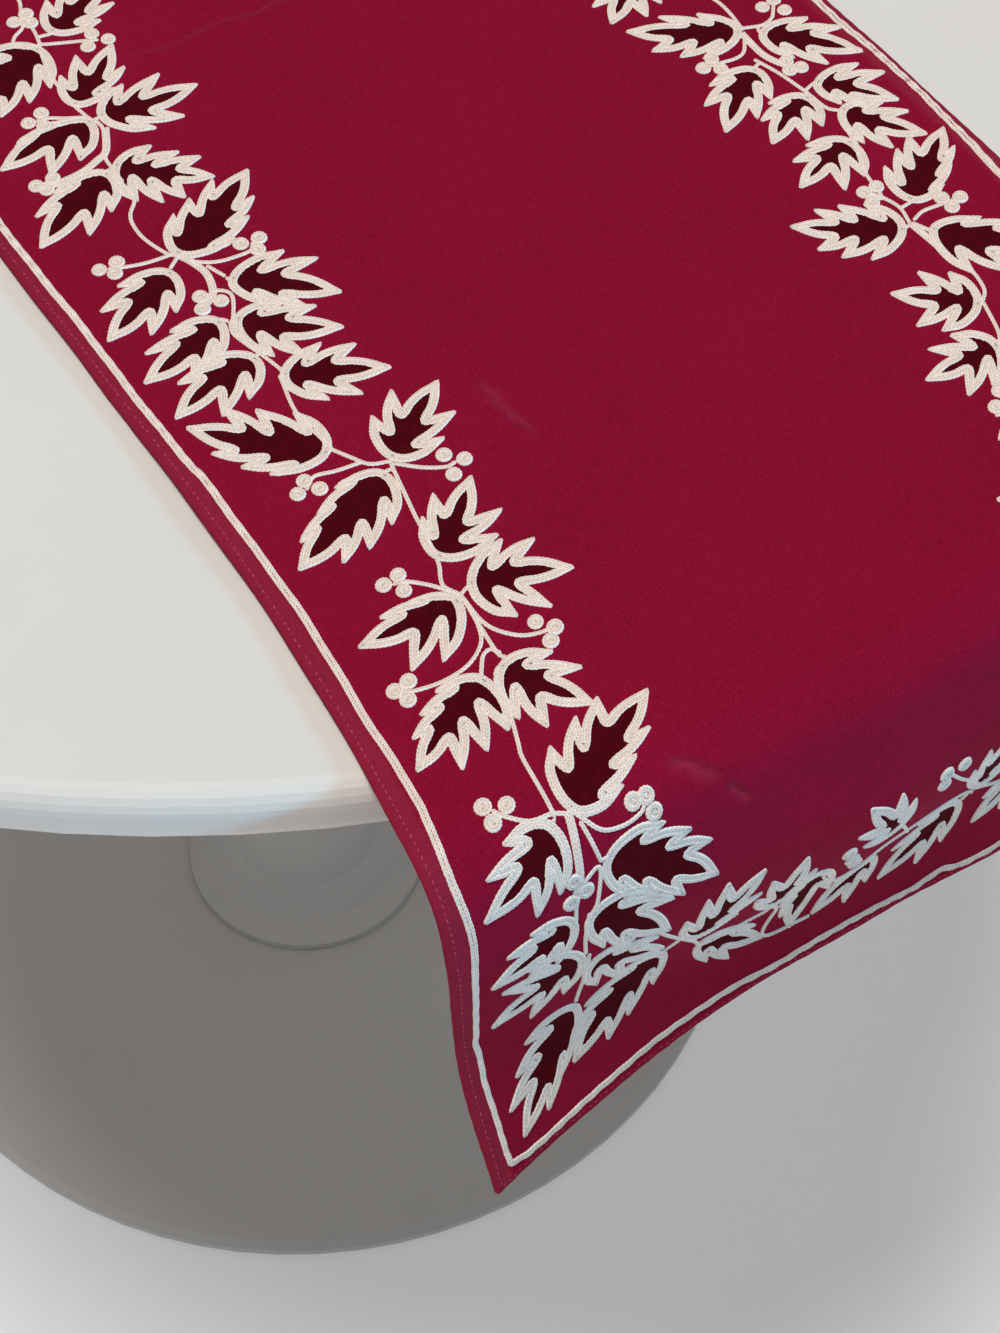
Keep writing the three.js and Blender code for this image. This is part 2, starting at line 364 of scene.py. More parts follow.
def makeCotton():
    material, tree, shader = startMaterial("runnerCotton", cottonLook["shader"])
    lay = put(tree, "UVMap", uv_map="clothLay").outputs[0]
    weave = useGroup(tree, weaveGroup, {"Vector": lay, **cottonLook["weave"]})
    drift = useGroup(tree, handlingGroup, {"Vector": lay, "Size": 9.0})
    tone = count(tree, "MULTIPLY_ADD", drift["Tone"], 0.4, count(tree, "MULTIPLY", weave["Tone"], 0.6))
    threads = blendColours(tree, tone, cottonLook["dark"], cottonLook["light"])
    # loose pale fibres that stand out of the yarn
    fibres = makeNoise(tree, lay, cottonLook["lintScale"], 2.0, 0.6)[0]
    lint = mapRange(tree, fibres, 0.5, 0.9, cottonLook["lintMost"])
    aside = count(tree, "ABSOLUTE", put(tree, "SeparateXYZ", {0: lay}).outputs[0])
    # painted bounce light: the long hems are painted paler, standing in for light bounced up off the table
    paintedHemBounce = mapRange(tree, aside, *cottonLook["hemPaintedBounceAt"], cottonLook["hemPaintedBounce"])
    # the pressed creases, charted across and along in millimetres, bent a little by slow noise
    drawn = countVectors(tree, "MULTIPLY", lay, (1000, 1000, 1000))
    slow = makeNoise(tree, drawn, 0.05, 1.0)["Color"]
    bend = cottonLook["creaseBend"]
    drawn = countVectors(tree, "MULTIPLY_ADD", slow, (bend, bend, 0), drawn)
    creases = 0.0
    for s0, t0, s1, t1, rise, half in surfaceSet["creases"]:
        crease = useGroup(tree, creaseGroup, {
            "Vector": drawn, "Start": (t0 + bend / 2, s0 + bend / 2, 0),
            "End": (t1 + bend / 2, s1 + bend / 2, 0), "Rise": rise, "Half Width": half})
        creases = count(tree, "ADD", creases, crease["Height"])
    # the long hems are painted a little paler as bounce light, and the creases as a painted highlight; the
    # lint is the cloth's own
    pale = count(tree, "MULTIPLY_ADD", creases, cottonLook["creasePaintedHighlight"], count(tree, "ADD", lint, paintedHemBounce))
    wire(shader, {"Base Color": blendColours(tree, pale, threads, cottonLook["lint"])})
    pressed = put(tree, "Bump", {"Height": creases, "Strength": 1.0, "Distance": 0.001}).outputs[0]
    bumpInto(tree, shader, weave["Height"], 0.35, 0.0004, pressed)
    return material


# each wool's gap colour is painted shade, laid in the eye of each loop and where one loop leaves the last
woolLooks = {
    "cream": {"shade": (0.58, 0.49, 0.43, 1), "light": (1.0, 0.92, 0.855, 1), "gap": (0.26, 0.15, 0.12, 1),
              "gapShadeDepth": 0.55, "shader": (0.9, 0.08, 0.15)},
    "maroon": {"shade": (0.034, 0.0004, 0.0022, 1), "light": (0.084, 0.0016, 0.0062, 1),
               "gap": (0.020, 0.0004, 0.0015, 1), "gapShadeDepth": 0.5, "shader": (0.95, 0.0, 0.05)},
    "hem": {"shade": (0.30, 0.030, 0.075, 1), "light": (0.50, 0.090, 0.150, 1), "gap": (0.1, 0.01, 0.02, 1),
            "gapShadeDepth": 0.2, "shader": (0.85, 0.02, 0.1)},
}


def makeWool(name, look):
    roughness, sheen, specular = look["shader"]
    material, tree, shader = startMaterial(name, {
        "Roughness": roughness, "Sheen Weight": sheen, "Sheen Roughness": 0.45,
        "Specular IOR Level": specular})
    stitch = put(tree, "UVMap", uv_map="stitchLay").outputs[0]
    wool = useGroup(tree, woolGroup, {"Vector": stitch, "Fineness": 5.0})
    axes = put(tree, "SeparateXYZ", {0: stitch}).outputs
    fromMiddle = count(tree, "ABSOLUTE", count(tree, "MULTIPLY_ADD", axes[1], 2.0, -1.0))
    loop = count(tree, "FRACT", count(tree, "MULTIPLY_ADD", fromMiddle, 0.3, axes[0]))
    # painted shade: a dark eye in the middle of each loop, and a thin line where one loop leaves the last
    shadedEye = count(tree, "MULTIPLY", count(tree, "COMPARE", loop, 0.5, 0.26),
                count(tree, "LESS_THAN", fromMiddle, 0.22))
    step = count(tree, "LESS_THAN", loop, 0.14)
    dark = count(tree, "MAXIMUM", shadedEye, count(tree, "MULTIPLY", step, 0.45))
    gap = count(tree, "MULTIPLY", dark, look["gapShadeDepth"])
    threads = blendColours(tree, wool["Tone"], look["shade"], look["light"])
    wire(shader, {"Base Color": blendColours(tree, gap, threads, look["gap"])})
    bumpInto(tree, shader, wool["Height"], 0.5, 0.0003)
    return material


paintLook = {"dark": (0.56, 0.55, 0.53, 1), "light": (0.66, 0.65, 0.63, 1), "roughness": (0.52, 0.68)}


def makePaint():
    # satin paint with faint brush marks round the turned shapes
    material, tree, shader = startMaterial("satinPaint", {"Coat Weight": 0.08, "Coat Roughness": 0.3})
    place = put(tree, "TexCoord").outputs["Object"]
    brushed = put(tree, "Mapping", {0: place, "Scale": (3.0, 3.0, 160.0)}).outputs[0]
    marks = makeNoise(tree, brushed, 2.0, 4.0)[0]
    drift = useGroup(tree, handlingGroup, {"Vector": place, "Size": 4.0})
    smooth, rough = paintLook["roughness"]
    wire(shader, {"Base Color": blendColours(tree, drift["Tone"], paintLook["dark"], paintLook["light"]),
                  "Roughness": count(tree, "MULTIPLY_ADD", marks, rough - smooth, smooth)})
    bumpInto(tree, shader, marks, 0.12, 0.0002)
    return material


cotton = makeCotton()
creamWool = makeWool("creamWool", woolLooks["cream"])
maroonWool = makeWool("maroonWool", woolLooks["maroon"])
hemThread = makeWool("hemThread", woolLooks["hem"])
paint = makePaint()
for name in ("table_top", "table_column", "table_foot"):
    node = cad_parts[name]
    node.data.materials.clear()
    node.data.materials.append(paint)
print("materials made")


def stripFaces(total, wide):
    # the quads of a grid of points that is so many points wide
    first = wide * np.arange(total // wide - 1)[:, None] + np.arange(wide - 1)[None]
    return (first[..., None] + np.array([0, 1, wide + 1, wide])).reshape(-1, 4)


def makePiece(name, points, faces, lay, layName, material):
    mesh = bpy.data.meshes.new(name)
    mesh.from_pydata(points.tolist(), [], faces.tolist())
    mesh.materials.append(material)
    mesh.polygons.foreach_set("use_smooth", [True] * len(mesh.polygons))
    corners = np.zeros(len(mesh.loops), dtype=np.int32)
    mesh.loops.foreach_get("vertex_index", corners)
    mesh.uv_layers.new(name=layName).data.foreach_set("uv", lay[corners].ravel())
    mesh.update()
    piece = addObject(name, mesh)
    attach(piece, "root")
    return piece


# The cloth.

clothSet = {
    "thickness": 1.6, "hemThickness": 2.2, "hemWidth": 5, "edgeThickness": 0.9, "cornerRound": 3.0,
    "flatStep": 4.2, "hangStep": 3.0, "acrossStep": 4.6, "hangStart": 400,
    "edgeWander": 0.35, "wanderFade": 12, "wanderReach": 14,
    "edgeStops": (0, 0.35, 1.0, 2.2, 3.2, 4.0, 4.8, 5.4, 7.0, 9.0),
}


def stopsFromEdge(total, parts):
    inner = clothSet["edgeStops"]
    rest = np.concatenate([np.arange(a, b, step) for a, b, step in parts])
    return np.concatenate([inner, rest[rest > inner[-1] + 1], [total]])


def makeCloth():
    half, side = halfLength, halfWidth
    hang = half - clothSet["hangStart"]
    ends = stopsFromEdge(half, (
        (12, hang, clothSet["hangStep"]), (hang, half - 2, clothSet["flatStep"])))
    sides = stopsFromEdge(side, ((13, side - 2, clothSet["acrossStep"]),))
    along = np.concatenate([half - ends, (ends - half)[::-1][1:]])[::-1]
    across = np.concatenate([sides - side, (side - sides)[::-1][1:]])
    s, t = np.meshgrid(along, across, indexing="ij")
    edge = np.minimum(half - np.abs(s), side - np.abs(t))
    wander = clothSet["edgeWander"] * (np.sin(s / 37 + 1) + 0.6 * np.sin(s / 11) + np.sin(t / 29) - 1.2)
    pull = np.clip(1 - edge / clothSet["wanderFade"], 0, 1)
    reach = clothSet["wanderReach"]
    # the corners are turned in to a small round
    turn = clothSet["cornerRound"]
    ways = ((s, half), (t, side))
    u, v = [np.clip(1 - (limit - np.abs(way)) / turn, 0, 1) for way, limit in ways]
    inward = 1 - np.maximum(u, v) / np.maximum(np.hypot(u, v), 1e-6)
    laid = []
    for (way, limit), corner in zip(ways, (u, v)):
        pulled = way - np.sign(way) * np.abs(wander) * pull * (np.abs(way) > limit - reach)
        laid.append((pulled - np.sign(way) * turn * corner * inward).ravel())
    # thin at the turned edge, full over the hem, and single inside it
    hem = np.clip((clothSet["hemWidth"] + 0.4 - edge) / 0.6, 0, 1)
    single, thin = clothSet["thickness"], clothSet["edgeThickness"]
    lift = single / 2 + hem * (clothSet["hemThickness"] - single) / 2
    lift = np.where(edge < 1.0, thin / 2 + (lift - thin / 2) * np.sqrt(np.clip(edge, 0, 1)), lift)
    points = np.concatenate([onCloth(*laid, lift.ravel()), onCloth(*laid, -lift.ravel())])
    rows, columns = s.shape
    index = np.arange(rows * columns).reshape(rows, columns)
    quads = stripFaces(index.size, columns)
    rim = np.concatenate([index[0, :-1], index[:-1, -1], index[-1, :0:-1], index[:0:-1, 0]])
    after = np.roll(rim, -1)
    around = np.stack([after, rim, rim + index.size, after + index.size], -1)
    faces = np.concatenate([quads, quads[:, ::-1] + index.size, around])
    lay = np.stack([t.ravel(), s.ravel()], -1) * 0.001
    return makePiece("runnerCloth", points, faces, np.concatenate([lay, lay]), "clothLay", cotton)


runnerCloth = makeCloth()
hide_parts("runner")
print("cloth made:", len(runnerCloth.data.polygons), "faces")

# Chain stitch rows.

rowSet = {
    "stitch": 1.7, "clothTop": 0.8, "sunk": 0.14, "waist": 0.84, "groove": 0.52, "chevron": 0.4, "fill": 0.42,
    "waistRidge": 0.82, "waistGroove": 0.7, "flank": 0.52, "end": 0.3, "endSunk": 0.2, "tightest": 0.85,
}


def runningLength(points):
    return np.concatenate([[0], np.cumsum(norm(np.diff(points[:, :2], axis=0), axis=1))])


def alongPath(points, step):
    points = np.asarray(points, float)
    lengths = runningLength(points)
    stops = np.linspace(0, lengths[-1], max(4, int(round(lengths[-1] / step)) + 1))
    return np.stack([np.interp(stops, lengths, column) for column in points.T], -1)


def smoothPath(points):
    # a smooth curve through the chart's points
    p = np.asarray(points, float)
    if len(p) < 3:
        return p
    p = np.vstack([2 * p[0] - p[1], p, 2 * p[-1] - p[-2]])
    u = np.linspace(0, 1, 9)[:-1, None]
    parts = []
    for a, b, c, d in zip(p, p[1:], p[2:], p[3:]):
        parts.append(b + 0.5 * u * (c - a + u * (2 * a - 5 * b + 4 * c - d + u * (3 * (b - c) + d - a))))
    return np.vstack(parts + [p[-2]])


def leftOf(way):
    return np.stack([-way[..., 1], way[..., 0]], -1)


def directions(path):
    step = np.gradient(path, axis=0)
    step /= np.maximum(norm(step, axis=1), 1e-6)[:, None]
    return step, leftOf(step)


def besides(points, distance):
    # the same path moved sideways, to the left of its direction for a positive distance
    return points + directions(points)[1] * np.asarray(distance).reshape(-1, 1)


def layGrid(first, second):
    return np.stack(np.meshgrid(first, second, indexing="ij"), -1).reshape(-1, 2)


def joinParts(name, parts, material):
    # a part is its places on the chart, their lifts off the cloth, its stitch map and its faces
    places, lifts, lays, faces = zip(*parts)
    starts = np.cumsum([0] + [len(place) for place in places[:-1]])
    places = np.concatenate(places)
    return makePiece(name, onCloth(places[:, 0], places[:, 1], np.concatenate(lifts)),
                     np.concatenate([face + start for face, start in zip(faces, starts)]),
                     np.concatenate(lays), "stitchLay", material)


def stitchRow(points, width, height, stitch):
    path = alongPath(points, stitch / 2)
    n = len(path)
    share = path[:, 2] if path.shape[1] > 2 else np.ones(n)
    path = path[:, :2]
    step, side = directions(path)
    belly = np.arange(n) % 2
    half = share * width / 2 * np.where(belly, 1, rowSet["waist"])
    ridge = height * np.where(belly, 1, rowSet["waistRidge"])
    middle = height * np.where(belly, rowSet["groove"], rowSet["waistGroove"])
    ends = np.ones(n)
    ends[[0, -1]] = rowSet["end"]
    drop = rowSet["endSunk"] * (ends < 1)
    half, ridge, middle = half * ends, ridge * ends - drop, middle * ends - drop
    # the inner side of a tight turn is kept inside its radius
    turn = np.gradient(np.unwrap(np.arctan2(step[:, 1], step[:, 0]))) / (stitch / 2)
    right = np.minimum(half, rowSet["tightest"] / np.maximum(-turn, 0.01))
    left = np.minimum(half, rowSet["tightest"] / np.maximum(turn, 0.01))
    flank = rowSet["flank"]
    offsets = np.stack([-right, -flank * right, 0 * half, flank * left, left], -1)
    foot = 0 * ridge - rowSet["sunk"]
    lifts = np.stack([foot, ridge, middle, ridge, foot], -1)
    shift = np.outer(belly, [0, 0, rowSet["chevron"], 0, 0])
    places = path[:, None] + side[:, None] * offsets[..., None] + step[:, None] * shift[..., None]
    return (places.reshape(-1, 2), lifts.ravel() + rowSet["clothTop"],
            layGrid(np.arange(n) / 2, np.linspace(0, 1, 5)), stripFaces(5 * n, 5))


def fillBetween(outer, inner):
    # a strip of wool that closes the gap between two rows
    total = 2 * len(outer)
    lift = np.full(total, rowSet["clothTop"] + rowSet["fill"])
    return (np.stack([outer[:, :2], inner[:, :2]], 1).reshape(-1, 2), lift,
            layGrid(np.arange(len(outer)) * 0.6, (0.3, 0.7)), stripFaces(total, 2))


def makeRows(name, rows, material):
    # a row is its path, width, height and, for finer work, the length of a stitch, or two paths to fill
    parts = []
    for path, *sizes in rows:
        if len(sizes) == 1:
            parts.append(fillBetween(path, sizes[0]))
        else:
            parts.append(stitchRow(path, *(sizes + [rowSet["stitch"]])[:3]))
    return joinParts(name, parts, material)


# The vine charts, the near half of the runner.

# along and across of a leaf's base and tip, the number of lobes on its left and right, and how far
# the widest lobe of each side stands out, in percent of the leaf's length
leftLeaves = (
    (30, -101, 12, -66, 2, 2, 33, 33), (34, -109, 55, -156, 3, 3, 33, 33),
    (74, -114, 50, -84, 2, 2, 33, 25), (85, -109, 89, -67.5, 2, 2, 34, 36),
    (84, -112, 90, -155, 2, 2, 40, 16), (113, -121, 136, -162, 2, 2, 31, 23),
    (112, -118, 138, -88, 3, 3, 34, 42), (169, -121, 142.5, -75, 3, 3, 27, 24),
    (174, -127, 193, -164, 2, 2, 33, 29), (190, -111, 218, -79, 2, 2, 39, 27),
    (209, -120, 234, -88, 2, 2, 31, 37), (243, -120, 261, -84, 2, 2, 34, 34),
    (206, -124, 219, -163, 2, 2, 30, 27), (229, -122, 240, -162, 2, 2, 35, 28),
    (284, -123, 247, -161, 3, 3, 25, 31), (300, -106, 277, -73, 2, 2, 34, 35),
    (303, -111, 324.5, -158.5, 3, 3, 30, 20), (348, -114, 322, -86, 2, 2, 32, 43),
    (363, -111, 376, -75, 2, 2, 40, 46), (366, -116, 365, -156, 2, 2, 50, 19),
    (399, -124, 419, -161, 3, 3, 46, 25), (398, -118, 428, -96, 2, 2, 37, 40),
    (459, -122, 434, -77, 3, 3, 33, 24), (459, -129, 477.5, -161.5, 2, 2, 46, 33),
    (479, -115, 512.5, -74, 3, 3, 28, 25), (500, -124, 531, -92.5, 2, 2, 33, 27),
    (499, -129, 511, -162, 2, 2, 36, 30), (519, -127, 537, -162, 2, 2, 39, 46),
    (528, -124, 546, -93, 2, 2, 29, 45), (555, -128, 595, -159, 3, 3, 20, 29),
    (551, -92, 583, -131.5, 3, 3, 29, 26),
)
rightLeaves = (
    (182, 136, 157, 97, 3, 2, 31, 25), (187, 141.5, 218.5, 169.5, 2, 2, 31, 29),
    (203, 127, 226.5, 95.5, 2, 2, 31, 32), (227, 135, 242, 107, 2, 2, 44, 29),
    (223, 142, 249, 164, 2, 2, 43, 28), (241, 141, 271, 161, 2, 2, 33, 35),
    (257, 134, 268, 101.5, 2, 2, 48, 30), (298, 133, 272.5, 169, 3, 3, 34, 22),
    (308, 123, 284, 85.5, 3, 3, 34, 31), (314, 130, 345, 168, 2, 2, 22, 36),
    (355, 125, 333, 98, 2, 2, 46, 39), (374, 119, 374.5, 85, 2, 2, 45, 39),
    (374, 124, 380, 162, 2, 2, 33, 33),
)
endLeaves = (
    (553, -81, 524.5, -54.5, 3, 2, 42, 30), (562, -76, 584, -47, 2, 2, 22, 27),
    (562, -46, 531, -36, 2, 2, 40, 26), (547, -28, 586, -35, 1, 3, 34, 22),
    (547, 5, 522.5, -9.5, 2, 2, 42, 42), (562, 40, 586, 5, 2, 2, 33, 30),
    (565, 0, 585, -25, 2, 1, 38, 18), (558, 46, 527, 62, 2, 2, 33, 33), (562, 76, 582, 49, 2, 2, 27, 22),
    (553, 84, 525, 101, 2, 1, 30, 36),
)
# three berries of each sprig
leftBerries = (
    (15.5, -110.5, 13.5, -104, 19.5, -105), (39.5, -87.5, 45.5, -92.5, 46, -83.5),
    (72.5, -134, 70, -127, 77, -129.5), (105.5, -148, 105, -140.5, 109.5, -145.5),
    (159, -149.5, 159, -142, 164, -145.5), (176, -97.5, 177, -90, 182, -93.5),
    (192, -124.5, 198, -127, 198, -119), (291, -138, 295, -143, 297, -135),
    (308, -89, 313.5, -83.5, 317.5, -90.5), (346.5, -136.5, 345.5, -130, 352.5, -131.5),
    (387.5, -154, 386.5, -148, 393, -151.5), (389, -97.5, 394.5, -92.5, 398.5, -96.5),
    (443, -148, 446.5, -140.5, 449.5, -147.5), (466, -100.5, 466.5, -95.5, 472.5, -94.5),
    (481.5, -128, 488, -124, 490, -130),
)
rightBerries = (
    (175, 152, 174, 158.5, 181.5, 158.5), (192, 109.5, 189.5, 115.5, 196.5, 115),
    (212, 138, 213, 143, 207, 140), (284, 120.5, 284, 126.5, 290, 120),
    (303, 144.5, 306.5, 151, 309, 145), (387.5, 154, 386.5, 148, 393, 151.5),
    (393.5, 105.5, 399, 100, 400, 107),
)
endBerries = ((543, -17, 551, -14, 558, -11), (528, 25, 528.5, 33.5, 533.5, 24.5))
# rows in each stem, then along and across of its points
leftStems = (
    (1, 0, -103, 5, -102.5, 12, -105.5), (1, 12, -105.5, 20, -109, 24, -115, 29, -117, 34, -112),
    (1, 33, -108, 34.5, -106, 38.5, -98, 41.5, -92), (1, 12, -105.5, 24, -106, 33.5, -108),
    (1, 34, -109, 50, -113, 70, -114, 80, -113, 85, -112), (1, 74, -126, 78, -120, 82, -113),
    (2, 92, -110, 103, -116, 106, -122, 108.5, -130, 108.5, -141.5),
    (1, 85, -111, 92, -111, 105, -117.5, 112, -118.5), (2, 113, -119.5, 121, -119.5),
    (1, 120, -119.5, 132, -119.5, 139, -125, 145, -127, 154, -127, 165, -124, 169, -121),
    (1, 162.5, -142, 165.5, -133, 167, -122), (1, 169, -121, 172.5, -126),
    (1, 169, -121, 175, -117, 179.5, -110, 181, -102, 181, -96),
    (2, 170, -120, 175, -118, 183, -116.5, 192, -119), (1, 180, -114, 187, -111.5),
    (1, 192, -119, 197, -114, 207, -119, 210, -122),
    (1, 210, -122, 216, -123.5, 230, -120, 240, -118, 243, -119), (1, 243, -120, 262, -124, 284, -122),
    (1, 284, -122, 291, -118, 297, -114, 300, -107), (1, 291, -134, 293, -126, 294.5, -117),
    (1, 302, -106, 308.5, -99, 313, -91.5), (1, 300, -107, 304, -108, 315, -110, 327, -112, 345, -114),
    (1, 346, -114.5, 350, -115.5, 358, -118.5, 365, -115), (1, 349.5, -129, 355, -123, 361, -118),
    (1, 391, -148, 393, -138, 392, -127, 387, -119, 380, -116, 370, -115),
    (1, 366, -115, 378, -114, 385, -111, 391, -105, 393.5, -99),
    (1, 366, -115, 380, -115.5, 393, -115.5, 396, -114),
    (1, 393, -115, 390.5, -117, 391.5, -120.5, 397.5, -124.5),
    (1, 402, -121, 416, -123, 428, -126, 435, -127.5, 457, -127.5),
    (1, 449.5, -143, 455, -136, 456.5, -128, 459, -123),
    (1, 461, -120, 469, -114, 471.5, -106, 470.5, -99), (2, 460, -123, 471, -124.5, 482, -125.5),
    (1, 464, -120, 479, -117), (1, 481, -118, 495, -120, 500, -123),
    (1, 484, -125, 492, -128, 499, -129), (1, 522, -124.5, 540, -125.5, 553, -127.5),
    (1, 500, -124, 510, -126, 519, -126),
)
rightStems = (
    (1, 146, 133, 160, 138, 170, 138.5, 181, 137), (1, 181.5, 138, 184, 145, 182.5, 151, 179, 154.5),
    (1, 187, 134, 193, 129, 194.5, 124, 193.5, 118), (2, 184, 135, 198, 134.5, 206, 137),
    (1, 200, 130, 212, 133.5, 226, 136), (1, 226, 136, 237, 137, 241, 140),
    (1, 247, 139, 254, 136, 260, 135), (1, 258, 135, 274, 128, 290, 125),
    (1, 290, 125, 298, 127.5, 306, 126), (1, 306, 129, 304.5, 134, 305.5, 142), (2, 308, 126, 325, 128),
    (1, 325, 128, 338, 130.5, 342, 131.5, 350, 130, 354, 126.5), (1, 308, 127, 314, 130),
    (1, 356, 125.5, 369, 122.5, 374, 120),
    (1, 391, 148, 393, 138, 392, 127, 387, 121, 380, 119, 374, 119.5),
    (1, 374, 119.5, 380, 116.5, 385, 112, 390, 108, 393.5, 106), (1, 374, 120, 386, 118, 398, 118),
)
endStems = (
    (1, 531, -96, 547, -85, 556, -79, 565, -72, 565, -50, 563, -46),
    (1, 562, -46, 568, -42, 584, -46, 586, -27), (1, 545, 7, 553, 11, 560, 14),
    (1, 564, -5, 559, 4, 558, 16, 557, 25, 557, 40, 560, 45), (1, 532, 29, 541, 36, 550, 44, 558, 48),
    (1, 548, -27, 558, -24, 567, -18, 566, -6),
    (1, 558, 46, 564, 60, 562, 75, 553, 86, 540, 94, 531, 98),
)
# along and across of the border line, from the middle of one side round the end to the other side
borderLine = (
    0, -171, 60, -170.3, 130, -169.5, 250, -169.5, 270, -168.5, 300, -168, 330, -167.5, 390, -167.5,
    410, -167, 430, -166.6, 440, -167.5, 460, -168.3, 485, -167.2, 505, -169, 530, -169, 540, -169.8,
    550, -168.6, 565, -169, 585, -168.6, 597, -168.4, 601.2, -167.6, 602.6, -163, 603.5, -155,
    602.5, -120, 601.8, -65, 603.5, -40, 602.5, -10, 604, 20, 602, 35, 604.5, 48, 602.5, 90, 603, 130,
    602.8, 160, 602, 166, 598, 168.5, 575, 169, 530, 169.5, 480, 169, 420, 170, 360, 170.5, 305, 172,
    285, 173, 250, 174, 225, 174.3, 180, 172.5, 90, 171.5, 0, 171,
)

mirrorShift = {"along": 13, "across": 8, "reach": 165}


def mirrored(along, across):
    # the other side of the vine, a little further along near the middle of the table
    near = ease((mirrorShift["reach"] + 30 - along) / 60) * along / mirrorShift["reach"]
    return along + mirrorShift["along"] * near, -across + mirrorShift["across"] * near


def mirroredRows(chart, low, high, first=0, leaf=False):
    # the rows that start before low or past high; first is the column in which the points start
    made = []
    for row in chart:
        if low <= row[first] <= high:
            continue
        last = first + 4 if leaf else len(row)
        points = [mirrored(row[n], row[n + 1]) for n in range(first, last, 2)]
        flat = tuple(float(v) for p in points for v in p)
        made.append(flat + (row[5], row[4], row[7], row[6]) if leaf else row[:first] + flat)
    return tuple(made)


rightLeaves += mirroredRows(leftLeaves, 143, 396, leaf=True)
rightBerries += mirroredRows(leftBerries, 150, 420)
rightStems += mirroredRows(leftStems, 120, 399, first=1)

# Leaves.

leafSet = {
    "rowWidth": 1.95, "rowHeight": (0.78, 0.74), "rowGap": 1.95, "tipInset": 0.5, "ramp": 0.45, "least": 0.65,
    "vary": 0.028, "point": 1.5, "pointLength": 3.2, "pointWidth": 0.5,
    "finger": 2.2, "fingerRoot": 5.0, "outBow": 0.09, "inBow": 0.03,
    # tips and notches of a side's lobes: share of the length along the leaf, and out from its middle
    # as a share of the widest lobe (tips) or of the length (notches)
    "tips": {1: ((0.56, 1.0),), 2: ((0.38, 1.0), (0.71, 0.90)), 3: ((0.31, 1.0), (0.56, 0.93), (0.79, 0.74))},
    "notches": {1: ((0.36, 0.15),), 2: ((0.27, 0.15), (0.53, 0.125)),
                3: ((0.22, 0.15), (0.45, 0.135), (0.67, 0.10))},
    "shoulder": ((0.02, 0.28), (0.09, 0.58), (0.21, 0.86)),
}


def bowed(start, end, bow):
    # a side of a lobe, bowed out to the left of its direction
    u = np.linspace(0, 1, 14)[:, None]
    start, end = np.asarray(start, float), np.asarray(end, float)
    way = end - start
    return start + way * u + leftOf(way) * bow * 4 * u * (1 - u)


def leafSide(lobes, spread, chance):
    # from the base up one side to the main tip, in shares of the length
    vary = leafSet["vary"]
    tips = [(a + chance.uniform(-vary, vary), b * spread + chance.uniform(-0.5, 0.5) * vary)
            for a, b in leafSet["tips"][lobes]]
    notches = [(a + chance.uniform(-vary, vary), b + chance.uniform(-0.6, 0.6) * vary)
               for a, b in leafSet["notches"][lobes]]
    scale = tips[0][0] / 0.38
    parts = [smoothPath([(0, 0)] + [(a * scale, b * spread) for a, b in leafSet["shoulder"]] + [tips[0]])]
    for n, notch in enumerate(notches):
        after = tips[n + 1] if n + 1 < len(tips) else (1.0, 0.0)
        parts.append(bowed(tips[n], notch, leafSet["inBow"]))
        parts.append(bowed(notch, after, leafSet["outBow"]))
    return parts


def cornerReach(sides, n, end):
    # the way a corner points, where side n meets the next one at its start (0) or its end (-1)
    corner, here = sides[n][end], sides[n][-5 if end else 4]
    there = sides[n + 1][4] if end else sides[n - 1][-5]
    reach = 2 * corner - here - there
    return reach / max(norm(reach), 1e-6)


def softened(path):
    # small rounding of the corners
    far = np.vstack([path[:1], path[:1], path, path[-1:], path[-1:]])
    return (far[:-4] + 2 * far[1:-3] + 2 * far[2:-2] + 2 * far[3:-1] + far[4:]) / 8


def axesOf(row):
    # the start, length, direction and left side of a line, given as along and across of its two ends
    base, tip = np.array(row[:2], float), np.array(row[2:4], float)
    length = norm(tip - base)
    ahead = (tip - base) / length
    return base, length, ahead, leftOf(ahead)


